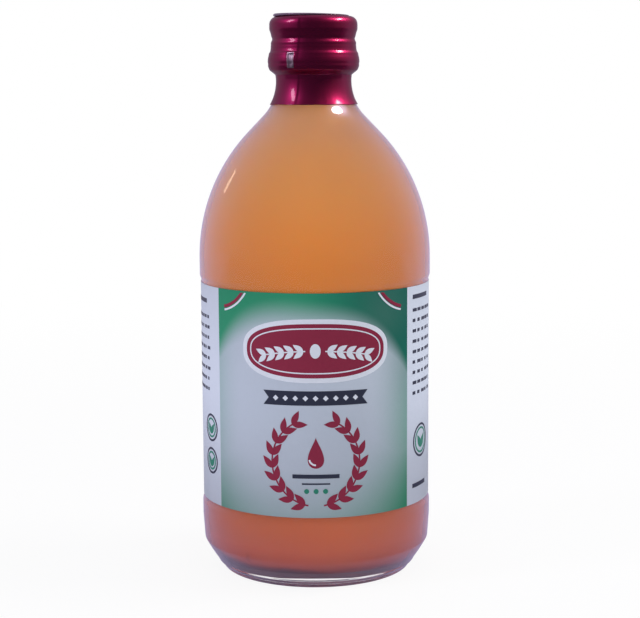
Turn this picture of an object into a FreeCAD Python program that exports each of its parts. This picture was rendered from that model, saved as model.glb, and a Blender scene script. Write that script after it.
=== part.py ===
import FreeCAD, Part
import math
import os

import Sketcher

# A 500 ml glass vinegar bottle, full and sealed, standing on its foot ring.
# Z points up, the axis of the bottle is Z, and the middle of the label faces -Y.

# Driving sizes, in millimetres and degrees.
SIZES = {
    "bodyDiameter": 76.7,
    "bodyHeight": 104.6,
    "shoulderAngle": 43.8,
    "coneLength": 7.4,
    "neckFillet": 16.6,
    "neckDiameter": 24.2,
    "neckLength": 1.7,
    "glassWall": 3.1,
    "heelInset": 6.75,
    "heelHeight": 10.0,
    "heelRadius": 60.0,
    "heelTaper": 0.6,
    "heelBlend": 8.3,
    "footRingWidth": 3.1,
    "footFillet": 1.2,
    "pushUp": 3.0,
    "floorHeight": 6.2,
    "floorCrown": 1.6,
    "innerCorner": 8.0,
    "finishDiameter": 25.3,
    "finishWall": 3.65,
    "beadHeight": 4.0,
    "lipFillet": 0.8,
    "labelBottom": 25.0,
    "labelDrop": 7.9,
    "labelPaper": 0.15,
    "lapWidth": 8.0,
    "recessDepth": 0.5,
    "recessMargin": 0.9,
    "recessRamp": 1.2,
    "capWall": 0.5,
    "capClearance": 0.15,
    "waistDepth": 0.55,
    "ringInset": 0.3,
    "bandBulge": 0.75,
    "bandHeight": 6.1,
    "ringHeight": 1.2,
    "waistHeight": 5.8,
    "knurlHeight": 1.7,
    "topCorner": 2.3,
    "tuckHeight": 1.6,
    "film": 0.25,
    "skinGap": 0.05,
    "capsuleDrop": 8.0,
    "topFold": 3.0,
    "discInset": 1.75,
    "discPlate": 0.3,
    "discRim": 0.9,
    "rimWidth": 0.8,
    "rimFillet": 0.3,
    "fillDrop": 5.0,
    "liquidGap": 0.05,
}


class Formula:
    # A value that keeps the words it was worked out from, for the document's expressions.
    def __init__(self, text, value):
        self.text = text
        self.value = value

    def __add__(self, other):
        return joined(self, "+", other, self.value + asFormula(other).value)

    def __sub__(self, other):
        return joined(self, "-", other, self.value - asFormula(other).value)

    def __mul__(self, other):
        return joined(self, "*", other, self.value * asFormula(other).value)

    def __truediv__(self, other):
        return joined(self, "/", other, self.value / asFormula(other).value)


def asFormula(item):
    return item if isinstance(item, Formula) else Formula(str(item), float(item))


def joined(left, sign, right, value):
    return Formula(f"({left.text} {sign} {asFormula(right).text})", value)


def sine(angle):
    return Formula(f"sin({angle.text})", math.sin(math.radians(angle.value)))


def cosine(angle):
    return Formula(f"cos({angle.text})", math.cos(math.radians(angle.value)))


def squareRoot(item):
    return Formula(f"sqrt({item.text})", math.sqrt(item.value))


def archRadius(run, rise, height):
    # Radius of the arc over a chord (run, rise) whose middle stands off by height.
    halfChordSquared = (run * run + rise * rise) / 4
    return (halfChordSquared + height * height) / (height * 2)


doc = FreeCAD.newDocument("vinegarBottle")


def makeSizes():
    sheet = doc.addObject("Spreadsheet::Sheet", "sizes")
    for row, (alias, number) in enumerate(SIZES.items(), 1):
        sheet.set(f"A{row}", alias)
        sheet.set(f"B{row}", str(number))
        sheet.setAlias(f"B{row}", alias)
    doc.recompute()
    return {alias: Formula(f"sizes.{alias}", float(sheet.get(alias))) for alias in SIZES}


size = makeSizes()
workedOut = doc.addObject("App::VarSet", "workedOut")
zero = asFormula(0)


def workOut(name, formula):
    # Holds a derived size in the document, so that later expressions stay short.
    workedOut.addProperty("App::PropertyFloat", name)
    workedOut.setExpression(name, formula.text)
    return Formula(f"workedOut.{name}", formula.value)


class Outline:
    # A closed profile in a body's XZ plane, each corner placed by two formulas.
    def __init__(self, body, name, x, z):
        self.sketch = body.newObject("Sketcher::SketchObject", name)
        plane = next(item for item in body.Origin.OriginFeatures if item.Role == "XZ_Plane")
        self.sketch.AttachmentSupport = [(plane, "")]
        self.sketch.MapMode = "FlatFace"
        self.start = (x, z)
        self.corner = (x, z)
        self.ends = []

    def constrain(self, kind, *rest):
        return self.sketch.addConstraint(Sketcher.Constraint(kind, *rest))

    def bind(self, kind, name, formula, *rest):
        index = self.constrain(kind, *rest, formula.value)
        self.sketch.renameConstraint(index, name)
        self.sketch.setExpression(f"Constraints.{name}", formula.text)

    def place(self, name, geometry, vertex, x, z):
        # Corners on an axis are held by it, and every other one by its distances.
        if x is zero:
            self.constrain("PointOnObject", geometry, vertex, -2)
        else:
            self.bind("DistanceX", name + "X", x, -1, 1, geometry, vertex)
        if z is zero:
            self.constrain("PointOnObject", geometry, vertex, -1)
        else:
            self.bind("DistanceY", name + "Z", z, -1, 1, geometry, vertex)

    def add(self, name, shape, x, z, first, last):
        geometry = self.sketch.addGeometry(shape, False)
        if self.ends:
            self.constrain("Coincident", *self.ends[-1], geometry, first)
        else:
            self.opening = (geometry, first)
        if (x, z) == self.start:
            self.constrain("Coincident", geometry, last, *self.opening)
        self.place(name, geometry, last, x, z)
        self.ends.append((geometry, last))
        self.corner = (x, z)
        return geometry

    def line(self, name, x, z):
        shape = Part.LineSegment(flatPoint(*self.corner), flatPoint(x, z))
        self.add(name, shape, x, z, 1, 2)

    def arc(self, name, x, z, radius, turn):
        # The way along the outline turns left with turn 1 and right with turn -1.
        start = flatPoint(*self.corner)
        end = flatPoint(x, z)
        chord = end - start
        reach = math.sqrt(max(radius.value**2 - chord.Length**2 / 4, 0))
        side = FreeCAD.Vector(-chord.y, chord.x, 0).normalize()
        centre = (start + end) / 2 + side * reach * turn
        first, last = (start, end) if turn > 0 else (end, start)
        circle = Part.Circle(centre, FreeCAD.Vector(0, 0, 1), radius.value)
        shape = Part.ArcOfCircle(circle, circle.parameter(first), circle.parameter(last))
        corners = (1, 2) if turn > 0 else (2, 1)
        geometry = self.add(name, shape, x, z, *corners)
        self.bind("Radius", name + "Radius", radius, geometry)

    def close(self, name):
        self.line(name, *self.start)

    def revolve(self, body, kind, name):
        feature = body.newObject(kind, name)
        feature.Profile = self.sketch
        feature.ReferenceAxis = (self.sketch, ["V_Axis"])
        feature.Angle = 360
        self.sketch.Visibility = False
        doc.recompute()
        return feature


def flatPoint(x, z):
    return FreeCAD.Vector(x.value, z.value, 0)


def makeBody(name, height=None):
    # A sub-part, raised to the height at which its own lowest plane lies.
    body = doc.addObject("PartDesign::Body", name)
    body.Label = name
    if height is not None:
        body.setExpression("Placement.Base.z", height.text)
    return body


def filletRings(body, base, name, radius, rings):
    # Rounds the circular edges found at the given radii and heights.
    edges = []
    for ringRadius, ringHeight in rings:
        for number, edge in enumerate(base.Shape.Edges, 1):
            box = edge.BoundBox
            level = abs(box.ZMin - ringHeight.value) + abs(box.ZMax - ringHeight.value) < 1e-4
            if level and abs(box.XMax - ringRadius.value) < 1e-3:
                edges.append(f"Edge{number}")
    fillet = body.newObject("PartDesign::Fillet", name)
    fillet.Base = (base, edges)
    fillet.setExpression("Radius", radius.text)
    doc.recompute()
    return fillet


bodyRadius = workOut("bodyRadius", size["bodyDiameter"] / 2)
neckRadius = workOut("neckRadius", size["neckDiameter"] / 2)
coneWidth = size["coneLength"] * sine(size["shoulderAngle"])
arcWidth = bodyRadius - neckRadius - coneWidth
arcSum = workOut("arcSum", arcWidth / (asFormula(1) - cosine(size["shoulderAngle"])))
shoulderRadius = workOut("shoulderRadius", arcSum - size["neckFillet"])
coneHeight = size["coneLength"] * cosine(size["shoulderAngle"])
arcHeight = arcSum * sine(size["shoulderAngle"])
neckStart = workOut("neckStart", size["bodyHeight"] + arcHeight + coneHeight)
neckCentre = workOut("neckCentre", neckRadius + size["neckFillet"])

skirtFoot = workOut("skirtFoot", neckStart + size["neckLength"])
skirtBottom = workOut("skirtBottom", skirtFoot + size["tuckHeight"])
bandTop = size["bandHeight"]
waistBottom = bandTop + size["ringHeight"]
waistTop = waistBottom + size["waistHeight"]
knurlTop = waistTop + size["knurlHeight"]
capHeight = workOut("capHeight", knurlTop + size["topCorner"])
mouthHeight = workOut("mouthHeight", skirtBottom + capHeight - size["capWall"])
finishRadius = workOut("finishRadius", size["finishDiameter"] / 2)
waistRadius = finishRadius + size["capClearance"] + size["capWall"]
capRadius = workOut("capRadius", waistRadius + size["waistDepth"] + size["ringInset"])
beadRadius = workOut("beadRadius", capRadius - size["capWall"] - size["capClearance"])
recessRadius = workOut("recessRadius", bodyRadius - size["recessDepth"])
labelTop = workOut("labelTop", size["bodyHeight"] - size["labelDrop"])
labelHeight = workOut("labelHeight", labelTop - size["labelBottom"])


def shoulderLine(outline, inset):
    # The upper body, shoulder and cone, from the outline's corner up to the neck's fillet.
    angle = size["shoulderAngle"]
    sweep = shoulderRadius - inset
    arcEndX = bodyRadius - shoulderRadius + sweep * cosine(angle)
    arcEndZ = size["bodyHeight"] + sweep * sine(angle)
    fillet = size["neckFillet"] + inset
    coneEndX = neckCentre - fillet * cosine(angle)
    coneEndZ = neckStart - fillet * sine(angle)
    outline.line("bodyTop", bodyRadius - inset, size["bodyHeight"])
    outline.arc("shoulderTop", arcEndX, arcEndZ, sweep, 1)
    outline.line("coneTop", coneEndX, coneEndZ)


def neckArcX(inset, drop):
    # Radius of the neck's fillet, inset from the glass, at a drop below the straight neck.
    fillet = size["neckFillet"] + inset
    return neckCentre - squareRoot(fillet * fillet - drop * drop)


def floorLine(outline, gap):
    # The cavity's floor, domed over the push-up, and the corner that rises to the wall.
    wall = bodyRadius - size["glassWall"] - gap
    corner = size["innerCorner"] - gap
    edge = wall - corner
    floor = size["floorHeight"] + gap
    crownRadius = archRadius(edge * 2, zero, size["floorCrown"])
    outline.arc("floorEdge", edge, floor, crownRadius, -1)
    outline.arc("wallFoot", wall, floor + corner, corner, 1)


def makeBottle():
    body = makeBody("bottle")
    heelEdge = bodyRadius - size["heelTaper"]
    footRadius = bodyRadius - size["heelInset"]
    ringRadius = footRadius - size["footRingWidth"]
    pushUpRadius = archRadius(ringRadius * 2, zero, size["pushUp"])
    recessBottom = size["labelBottom"] - size["recessMargin"]
    recessTop = labelTop + size["recessMargin"]

    outer = Outline(body, "outerLine", zero, size["pushUp"])
    outer.arc("ringInside", ringRadius, zero, pushUpRadius, -1)
    outer.line("foot", footRadius, zero)
    outer.arc("heel", heelEdge, size["heelHeight"], size["heelRadius"], 1)
    outer.line("heelTop", bodyRadius, size["heelHeight"] + size["heelBlend"])
    outer.line("lowerBand", bodyRadius, recessBottom - size["recessRamp"])
    outer.line("recessFoot", recessRadius, recessBottom)
    outer.line("recessHead", recessRadius, recessTop)
    outer.line("upperBand", bodyRadius, recessTop + size["recessRamp"])
    shoulderLine(outer, zero)
    outer.arc("neckFoot", neckRadius, neckStart, size["neckFillet"], -1)
    outer.line("neckTop", neckRadius, skirtFoot)
    outer.line("beadFoot", beadRadius, skirtBottom)
    outer.line("beadHead", beadRadius, skirtBottom + size["beadHeight"])
    outer.line("finishFoot", finishRadius, skirtBottom + size["beadHeight"])
    outer.line("lipOutside", finishRadius, mouthHeight)
    outer.line("lipMiddle", zero, mouthHeight)
    outer.close("axis")
    solid = outer.revolve(body, "PartDesign::Revolution", "glass")

    boreRadius = finishRadius - size["finishWall"]
    cavity = Outline(body, "cavityLine", zero, size["floorHeight"] + size["floorCrown"])
    floorLine(cavity, zero)
    shoulderLine(cavity, size["glassWall"])
    innerFillet = size["neckFillet"] + size["glassWall"]
    cavity.arc("neckInside", neckRadius - size["glassWall"], neckStart, innerFillet, -1)
    cavity.line("boreFoot", boreRadius, skirtFoot)
    cavity.line("boreTop", boreRadius, mouthHeight)
    cavity.line("mouthMiddle", zero, mouthHeight)
    cavity.close("axis")
    hollow = cavity.revolve(body, "PartDesign::Groove", "cavity")
    if hollow.Shape.Volume > solid.Shape.Volume * 0.9:
        raise RuntimeError("the cavity has not been cut")

    foot = filletRings(body, hollow, "footRound", size["footFillet"], [(footRadius, zero)])
    lips = [(finishRadius, mouthHeight), (boreRadius, mouthHeight)]
    body.Tip = filletRings(body, foot, "lipRound", size["lipFillet"], lips)
    return body


def makeVinegar():
    body = makeBody("vinegar")
    gap = size["liquidGap"]
    inset = size["glassWall"] + gap
    surface = neckStart - size["fillDrop"]
    drink = Outline(body, "fillLine", zero, size["floorHeight"] + size["floorCrown"] + gap)
    floorLine(drink, gap)
    shoulderLine(drink, inset)
    edge = neckArcX(inset, size["fillDrop"])
    drink.arc("surfaceEdge", edge, surface, size["neckFillet"] + inset, -1)
    drink.line("surfaceMiddle", zero, surface)
    drink.close("axis")
    drink.revolve(body, "PartDesign::Revolution", "drink")
    return body


def capSide(outline, foot, outset):
    # The side of the closure from its skirt's edge up to its flat top, moved outward.
    ring = capRadius - size["ringInset"] + outset
    side = capRadius + outset
    corner = size["topCorner"] + outset
    bandRadius = archRadius(size["bandHeight"], size["ringInset"], size["bandBulge"])
    waistArc = archRadius(size["waistHeight"], size["ringInset"], size["waistDepth"])
    outline.arc("bandTop", ring, foot + bandTop, bandRadius, 1)
    outline.line("waistBottom", ring, foot + waistBottom)
    outline.arc("waistTop", side, foot + waistTop, waistArc, -1)
    outline.line("knurlTop", side, foot + knurlTop)
    outline.arc("topEdge", side - corner, foot + knurlTop + corner, corner, 1)


def makeCap():
    body = makeBody("cap", skirtBottom)
    shell = Outline(body, "shellLine", capRadius, zero)
    capSide(shell, zero, zero)
    shell.line("topMiddle", zero, capHeight)
    shell.line("axisFoot", zero, zero)
    shell.close("skirtFoot")
    shell.revolve(body, "PartDesign::Revolution", "shell")

    wall = zero - size["capWall"]
    hollow = Outline(body, "insideLine", capRadius + wall, zero)
    capSide(hollow, zero, wall)
    hollow.line("panelMiddle", zero, capHeight + wall)
    hollow.line("axisFoot", zero, zero)
    hollow.close("insideFoot")
    hollow.revolve(body, "PartDesign::Groove", "inside")
    return body


def sleeveSide(outline, outset):
    # The neck, the tuck under the closure's skirt and the closure, moved outward.
    drop = size["capsuleDrop"]
    foot = drop + size["neckLength"]
    skirt = foot + size["tuckHeight"]
    outline.arc("neckFoot", neckRadius + outset, drop, size["neckFillet"] - outset, -1)
    outline.line("tuckFoot", neckRadius + outset, foot)
    outline.line("tuckHead", capRadius + outset, skirt)
    capSide(outline, skirt, outset)


def makeCapsule():
    # Shrink sleeve over the closure and the neck, folded in over the closure's top.
    drop = size["capsuleDrop"]
    body = makeBody("capsule", neckStart - drop)
    inner = size["skinGap"]
    outer = size["skinGap"] + size["film"]
    top = drop + size["neckLength"] + size["tuckHeight"] + capHeight
    foldRadius = capRadius - size["topCorner"] - size["topFold"]

    sleeve = Outline(body, "sleeveLine", neckArcX(zero - outer, drop), zero)
    sleeveSide(sleeve, outer)
    sleeve.line("foldEdge", foldRadius, top + outer)
    sleeve.line("foldUnder", foldRadius, top + inner)
    sleeve.line("underMiddle", zero, top + inner)
    sleeve.line("axisFoot", zero, zero)
    sleeve.close("sleeveFoot")
    sleeve.revolve(body, "PartDesign::Revolution", "sleeve")

    hollow = Outline(body, "insideLine", neckArcX(zero - inner, drop), zero)
    sleeveSide(hollow, inner)
    hollow.line("underMiddle", zero, top + inner)
    hollow.line("axisFoot", zero, zero)
    hollow.close("insideFoot")
    hollow.revolve(body, "PartDesign::Groove", "inside")
    return body


def makeCapsuleDisc():
    # Top disc of the capsule, whose rolled rim stands up as a lip.
    seat = skirtBottom + capHeight + size["skinGap"] + size["film"]
    body = makeBody("capsule_disc", seat)
    edge = capRadius - size["discInset"]
    disc = Outline(body, "discLine", zero, zero)
    disc.line("edgeFoot", edge, zero)
    disc.line("edgeHead", edge, size["discRim"])
    disc.line("rimInside", edge - size["rimWidth"], size["discRim"])
    disc.line("plateEdge", edge - size["rimWidth"], size["discPlate"])
    disc.line("plateMiddle", zero, size["discPlate"])
    disc.close("axis")
    plate = disc.revolve(body, "PartDesign::Revolution", "plate")
    body.Tip = filletRings(body, plate, "rimRound", size["rimFillet"], [(edge, size["discRim"])])
    return body


def ringPart(name, inside, outside, sweep=None, turned=None):
    # A tube, or a stretch of one, as tall as the label.
    tubes = []
    for suffix, radius in (("Outside", outside), ("Inside", inside)):
        tube = doc.addObject("Part::Cylinder", name + suffix)
        tube.setExpression("Radius", radius.text)
        tube.setExpression("Height", labelHeight.text)
        tubes.append(tube)
    if sweep is not None:
        tubes[0].setExpression("Angle", sweep.text)
        tubes[0].Placement.Rotation = FreeCAD.Rotation(FreeCAD.Vector(0, 0, 1), turned)
    ring = doc.addObject("Part::Cut", name)
    ring.Base, ring.Tool = tubes
    return ring


def makeLabel():
    # Paper wrapped once round the body, its end lapped over its start at the back.
    inside = recessRadius + size["skinGap"]
    outside = inside + size["labelPaper"]
    sweep = size["lapWidth"] / outside * (180 / math.pi)
    backAngle = 90
    wrap = ringPart("wrap", inside, outside)
    lap = ringPart("lap", outside, outside + size["labelPaper"], sweep, backAngle)
    label = doc.addObject("Part::Fuse", "label")
    label.Label = "label"
    label.Base = wrap
    label.Tool = lap
    label.setExpression("Placement.Base.z", size["labelBottom"].text)
    return label


def main():
    parts = [makeBottle(), makeVinegar(), makeCap(), makeCapsule(), makeCapsuleDisc(), makeLabel()]
    doc.recompute()
    for item in doc.Objects:
        if "Invalid" in item.State or "Error" in item.State:
            raise RuntimeError(f"{item.Label} has failed")
        if item.isDerivedFrom("Sketcher::SketchObject") and item.solve() != 0:
            raise RuntimeError(f"{item.Label} is not solved")
    for part in parts:
        if part.Shape.isNull() or not part.Shape.isValid():
            raise RuntimeError(f"{part.Label} has no sound shape")
    os.makedirs("parts", exist_ok=True)
    for part in parts:
        part.Shape.exportStep(f"parts/{part.Label}.step")
        box = part.Shape.BoundBox
        volume = part.Shape.Volume / 1000
        solids = len(part.Shape.Solids)
        print(f"{part.Label}: {solids} solid, {volume:.2f} ml, z {box.ZMin:.2f} to {box.ZMax:.2f}")


main()
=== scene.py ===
import math

import bmesh
import bpy
from mathutils import Matrix, Vector, noise


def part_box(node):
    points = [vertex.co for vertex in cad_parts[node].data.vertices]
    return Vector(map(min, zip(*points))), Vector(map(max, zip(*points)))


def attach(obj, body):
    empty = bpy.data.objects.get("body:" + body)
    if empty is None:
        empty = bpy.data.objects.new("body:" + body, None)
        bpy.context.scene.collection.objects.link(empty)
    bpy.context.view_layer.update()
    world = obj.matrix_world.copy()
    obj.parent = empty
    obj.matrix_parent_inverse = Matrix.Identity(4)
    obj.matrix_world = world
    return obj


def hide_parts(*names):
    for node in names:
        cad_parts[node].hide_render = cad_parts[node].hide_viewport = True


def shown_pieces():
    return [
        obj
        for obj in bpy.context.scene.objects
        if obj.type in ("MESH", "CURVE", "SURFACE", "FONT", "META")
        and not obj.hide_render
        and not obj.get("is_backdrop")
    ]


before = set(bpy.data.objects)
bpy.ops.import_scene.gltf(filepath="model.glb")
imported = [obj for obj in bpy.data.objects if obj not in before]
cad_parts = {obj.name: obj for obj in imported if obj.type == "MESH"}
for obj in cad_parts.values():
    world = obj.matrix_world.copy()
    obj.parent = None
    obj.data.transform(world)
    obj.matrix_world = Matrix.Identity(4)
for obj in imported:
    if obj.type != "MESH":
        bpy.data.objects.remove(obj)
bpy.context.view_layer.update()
print("frame loaded")

mm = 0.001
scene = bpy.context.scene


# Small helpers for node trees

class NodeDesk:
    # Adds nodes to one tree and joins them.
    def __init__(self, tree):
        self.tree = tree

    def put(self, socket, value):
        if isinstance(value, bpy.types.NodeSocket):
            self.tree.links.new(value, socket)
        else:
            socket.default_value = value

    def add(self, kind, inputs=None, **settings):
        # The keys of the inputs are names or numbers.
        node = self.tree.nodes.new(kind)
        for name, value in settings.items():
            setattr(node, name, value)
        for key, value in (inputs or {}).items():
            self.put(node.inputs[key], value)
        return node

    def math(self, operation, *values):
        node = self.add("ShaderNodeMath", dict(enumerate(values)), operation=operation)
        return node.outputs[0]

    def times(self, product, *values):
        for value in values:
            product = self.math("MULTIPLY", product, value)
        return product

    def vector(self, operation, *values):
        return self.add("ShaderNodeVectorMath", dict(enumerate(values)), operation=operation).outputs

    def split(self, vector):
        return self.add("ShaderNodeSeparateXYZ", {"Vector": vector}).outputs

    def join(self, **parts):
        return self.add("ShaderNodeCombineXYZ", parts).outputs[0]

    def blend(self, factor, first, second):
        node = self.add("ShaderNodeMix", {0: factor, 6: first, 7: second}, data_type="RGBA")
        return node.outputs[2]

    def slope(self, value, low, high, first=0.0, last=1.0):
        # Runs smoothly from first to last while the value goes from low to high.
        node = self.add("ShaderNodeMapRange", dict(enumerate((value, low, high, first, last))),
                        interpolation_type="SMOOTHSTEP")
        return node.outputs[0]

    def mixShaders(self, factor, first, second):
        return self.add("ShaderNodeMixShader", {0: factor, 1: first, 2: second}).outputs[0]


def tone(red, green, blue):
    # A colour given in screen values from 0 to 255.
    linear = []
    for part in (red, green, blue):
        part /= 255
        linear.append(part / 12.92 if part <= 0.04045 else ((part + 0.055) / 1.055) ** 2.4)
    return (*linear, 1.0)


def newMaterial(name):
    material = bpy.data.materials.new(name)
    material.use_nodes = True
    material.node_tree.nodes.clear()
    desk = NodeDesk(material.node_tree)
    place = desk.add("ShaderNodeTexCoord").outputs["Object"]
    return material, desk, place


def finishMaterial(material, desk, shader):
    desk.add("ShaderNodeOutputMaterial", {"Surface": shader})
    return material


def principled(desk, values):
    return desk.add("ShaderNodeBsdfPrincipled", values).outputs[0]


def newTree(name, kind, inputs, outputs):
    # A node group with named sockets, the desk for it, and what is given to it.
    tree = bpy.data.node_groups.new(name, kind)
    for direction, sockets in (("INPUT", inputs), ("OUTPUT", outputs)):
        for label, sort in sockets.items():
            tree.interface.new_socket(name=label, in_out=direction, socket_type="NodeSocket" + sort)
    desk = NodeDesk(tree)
    return tree, desk, desk.add("NodeGroupInput").outputs


def buildGrainGroup():
    # Fine cloudy variation that the papers, inks, film and liquid share.
    tree, desk, given = newTree(
        "grain", "ShaderNodeTree",
        {"Place": "Vector", "Scale": "Float", "Depth": "Float", "Stretch": "Vector"},
        {"Shade": "Float", "Height": "Float"})
    stretched = desk.vector("MULTIPLY", given["Place"], given["Stretch"])[0]
    cloud = desk.add("ShaderNodeTexNoise", {
        "Vector": stretched, "Scale": given["Scale"], "Detail": 3.0, "Roughness": 0.55}).outputs[0]
    swing = desk.times(desk.math("SUBTRACT", cloud, 0.5), given["Depth"])
    desk.add("NodeGroupOutput", {"Shade": desk.math("ADD", swing, 1.0), "Height": cloud})
    return tree


grainGroup = buildGrainGroup()


def grain(desk, place, scale, depth, stretch=(1, 1, 1)):
    # A shade that varies round 1 by the depth, and a height for a bump.
    node = desk.add("ShaderNodeGroup", node_tree=grainGroup)
    for socket, value in zip(node.inputs, (place, scale, depth, stretch)):
        desk.put(socket, value)
    return node.outputs["Shade"], node.outputs["Height"]


def shaded(desk, colour, *shades):
    if not isinstance(colour, bpy.types.NodeSocket):
        colour = colour[:3]
    for shade in shades:
        scaled = desk.add("ShaderNodeVectorMath", {0: colour, "Scale": shade}, operation="SCALE")
        colour = scaled.outputs[0]
    return colour


def bump(desk, height, strength, distance):
    return desk.add("ShaderNodeBump", {
        "Height": height, "Strength": strength, "Distance": distance}).outputs[0]


# Profiles: lists of (radius, height) in millimetres

def hump(value, centre, width):
    return math.exp(-((value - centre) / width) ** 2)


def arcRadius(chord, rise):
    return (chord ** 2 / 4 + rise ** 2) / (2 * rise)


def traceLine(steps, spacing=0.2):
    # A step is (r, z) for a straight run, or (r, z, radius, side) for an arc. Side 1 swells outward.
    points = [steps[0]]
    for step in steps[1:]:
        start = Vector(points[-1])
        end = Vector(step[:2])
        chord = (end - start).length
        if len(step) == 2:
            count = max(1, round(chord / spacing))
            points += [tuple(start.lerp(end, k / count)) for k in range(1, count + 1)]
            continue
        radius, side = step[2:]
        ahead = (end - start) / chord
        left = Vector((-ahead.y, ahead.x)) * side
        centre = (start + end) / 2 + left * math.sqrt(max(0, radius ** 2 - chord ** 2 / 4))
        first, last = start - centre, end - centre
        turn = math.atan2(first.cross(last), first.dot(last))
        count = max(2, round(abs(turn) * radius / spacing))
        for k in range(1, count + 1):
            angle = turn * k / count
            spoke = Vector((first.x * math.cos(angle) - first.y * math.sin(angle),
                            first.x * math.sin(angle) + first.y * math.cos(angle)))
            points.append(tuple(centre + spoke))
    return points


def softenLine(points, passes):
    # Rounds every corner a little, as heat and wear do. The ends stay.
    for _ in range(passes):
        middle = [((a[0] + 2 * b[0] + c[0]) / 4, (a[1] + 2 * b[1] + c[1]) / 4)
                  for a, b, c in zip(points, points[1:], points[2:])]
        points = [points[0], *middle, points[-1]]
    return points


def thinLine(points, bend, gap):
    # Keeps points where the line turns, and one in every gap on straight runs.
    kept = [points[0]]
    heading = None
    for before, here, after in zip(points, points[1:], points[2:]):
        ahead = math.atan2(after[1] - here[1], after[0] - here[0])
        if heading is None:
            heading = ahead
        away = math.dist(kept[-1], here)
        turned = abs((ahead - heading + math.pi) % (2 * math.pi) - math.pi)
        if away > gap or turned > math.radians(bend):
            kept.append(here)
            heading = ahead
    kept.append(points[-1])
    return kept


def newGeometryTree(name, inputs):
    return newTree(name, "GeometryNodeTree", {**inputs, "Finish": "Material"},
                   {"Geometry": "Geometry"})


def finishTree(desk, geometry, finish):
    real = desk.add("GeometryNodeRealizeInstances", {"Geometry": geometry})
    done = desk.add("GeometryNodeSetMaterial", {"Geometry": real.outputs[0], "Material": finish})
    desk.add("NodeGroupOutput", {"Geometry": done.outputs[0]})


def fineLine(steps, passes, bend, gap, spacing=0.2):
    return thinLine(softenLine(traceLine(steps, spacing), passes), bend, gap)


def buildLatheTree():
    # Turns a profile round the upright axis and raises two fine mould seams on its outer rings.
    tree, desk, given = newGeometryTree("lathe", {
        "Profile": "Object", "Segments": "Int", "Outer Rings": "Int", "Seam Height": "Float",
        "Seam Width": "Float"})
    position = desk.add("GeometryNodeInputPosition").outputs[0]
    line = desk.add("GeometryNodeObjectInfo", {"Object": given["Profile"]}).outputs["Geometry"]
    size = desk.add("GeometryNodeAttributeDomainSize", {"Geometry": line}, component="CURVE")
    rings = size.outputs["Point Count"]
    columns = desk.math("ADD", given["Segments"], 1)
    grid = desk.add("GeometryNodeMeshGrid", {"Size X": 1.0, "Size Y": 1.0,
                                             "Vertices X": columns, "Vertices Y": rings})
    flat = desk.split(position)
    angle = desk.times(flat["X"], 2 * math.pi)
    steps = desk.math("SUBTRACT", rings, 1)
    ring = desk.math("ROUND", desk.times(desk.math("ADD", flat["Y"], 0.5), steps))
    sample = desk.add("GeometryNodeSampleIndex", {"Geometry": line, "Value": position, "Index": ring},
                      data_type="FLOAT_VECTOR", domain="POINT")
    spot = desk.split(sample.outputs[0])
    sideways = desk.math("ABSOLUTE", desk.math("COSINE", angle))
    ridge = desk.slope(sideways, 0.0, given["Seam Width"], 1.0, 0.0)
    outside = desk.math("LESS_THAN", ring, given["Outer Rings"])
    offAxis = desk.math("GREATER_THAN", spot["X"], 2 * mm)
    radius = desk.math("ADD", spot["X"], desk.times(ridge, outside, given["Seam Height"], offAxis))
    turned = desk.join(X=desk.times(radius, desk.math("SINE", angle)),
                       Y=desk.times(radius, desk.math("COSINE", angle), -1), Z=spot["Z"])
    placed = desk.add("GeometryNodeSetPosition", {
        "Geometry": grid.outputs["Mesh"], "Position": turned})
    welded = desk.add("GeometryNodeMergeByDistance", {
        "Geometry": placed.outputs[0], "Distance": 1e-6})
    smooth = desk.add("GeometryNodeSetShadeSmooth", {"Geometry": welded.outputs[0]})
    finishTree(desk, smooth.outputs[0], given["Finish"])
    return tree


def newObject(name, data):
    item = bpy.data.objects.new(name, data)
    scene.collection.objects.link(item)
    return item


def socketKey(tree, name):
    for item in tree.interface.items_tree:
        if item.name == name and item.in_out == "INPUT":
            return item.identifier
    raise KeyError(name)


def evaluatedMesh(item):
    graph = bpy.context.evaluated_depsgraph_get()
    return bpy.data.meshes.new_from_object(item.evaluated_get(graph))


def runTree(name, tree, values):
    # Runs a geometry tree on an empty mesh and keeps the result as a plain mesh object.
    holder = newObject(name, bpy.data.meshes.new(name))
    modifier = holder.modifiers.new("tree", "NODES")
    modifier.node_group = tree
    for label, value in values.items():
        modifier[socketKey(tree, label)] = value
    mesh = evaluatedMesh(holder)
    holder.modifiers.remove(modifier)
    blank = holder.data
    holder.data = mesh
    mesh.name = name
    bpy.data.meshes.remove(blank)
    return holder


def addSpline(curve, points):
    spline = curve.splines.new("POLY")
    spline.points.add(len(points) - 1)
    for point, place in zip(spline.points, points):
        point.co = (*place, 1)
    return spline


latheTree = buildLatheTree()


def turnProfile(name, points, finish, segments, outerRings=0, seamHeight=0.0, seamWidth=0.02):
    curve = bpy.data.curves.new(name, "CURVE")
    curve.dimensions = "3D"
    addSpline(curve, [(x * mm, 0, z * mm) for x, z in points])
    profile = newObject(name + "Profile", curve)
    piece = runTree(name, latheTree, {
        "Profile": profile, "Segments": segments, "Outer Rings": outerRings,
        "Seam Height": seamHeight * mm, "Seam Width": seamWidth, "Finish": finish})
    bpy.data.objects.remove(profile)
    check = bmesh.new()
    check.from_mesh(piece.data)
    volume = check.calc_volume(signed=True)
    loose = sum(1 for edge in check.edges if not edge.is_manifold)
    if volume < 0:
        bmesh.ops.reverse_faces(check, faces=check.faces)
        check.to_mesh(piece.data)
    check.free()
    print(name, len(piece.data.polygons), "faces", round(volume * 1e6, 2), "ml,", loose, "open edges")
    return piece


def joinFrame(piece, slot, *nodes):
    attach(piece, "root")
    if nodes:
        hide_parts(*nodes)


# Shared sizes of the vessel, read from the frame where the frame has them

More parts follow.
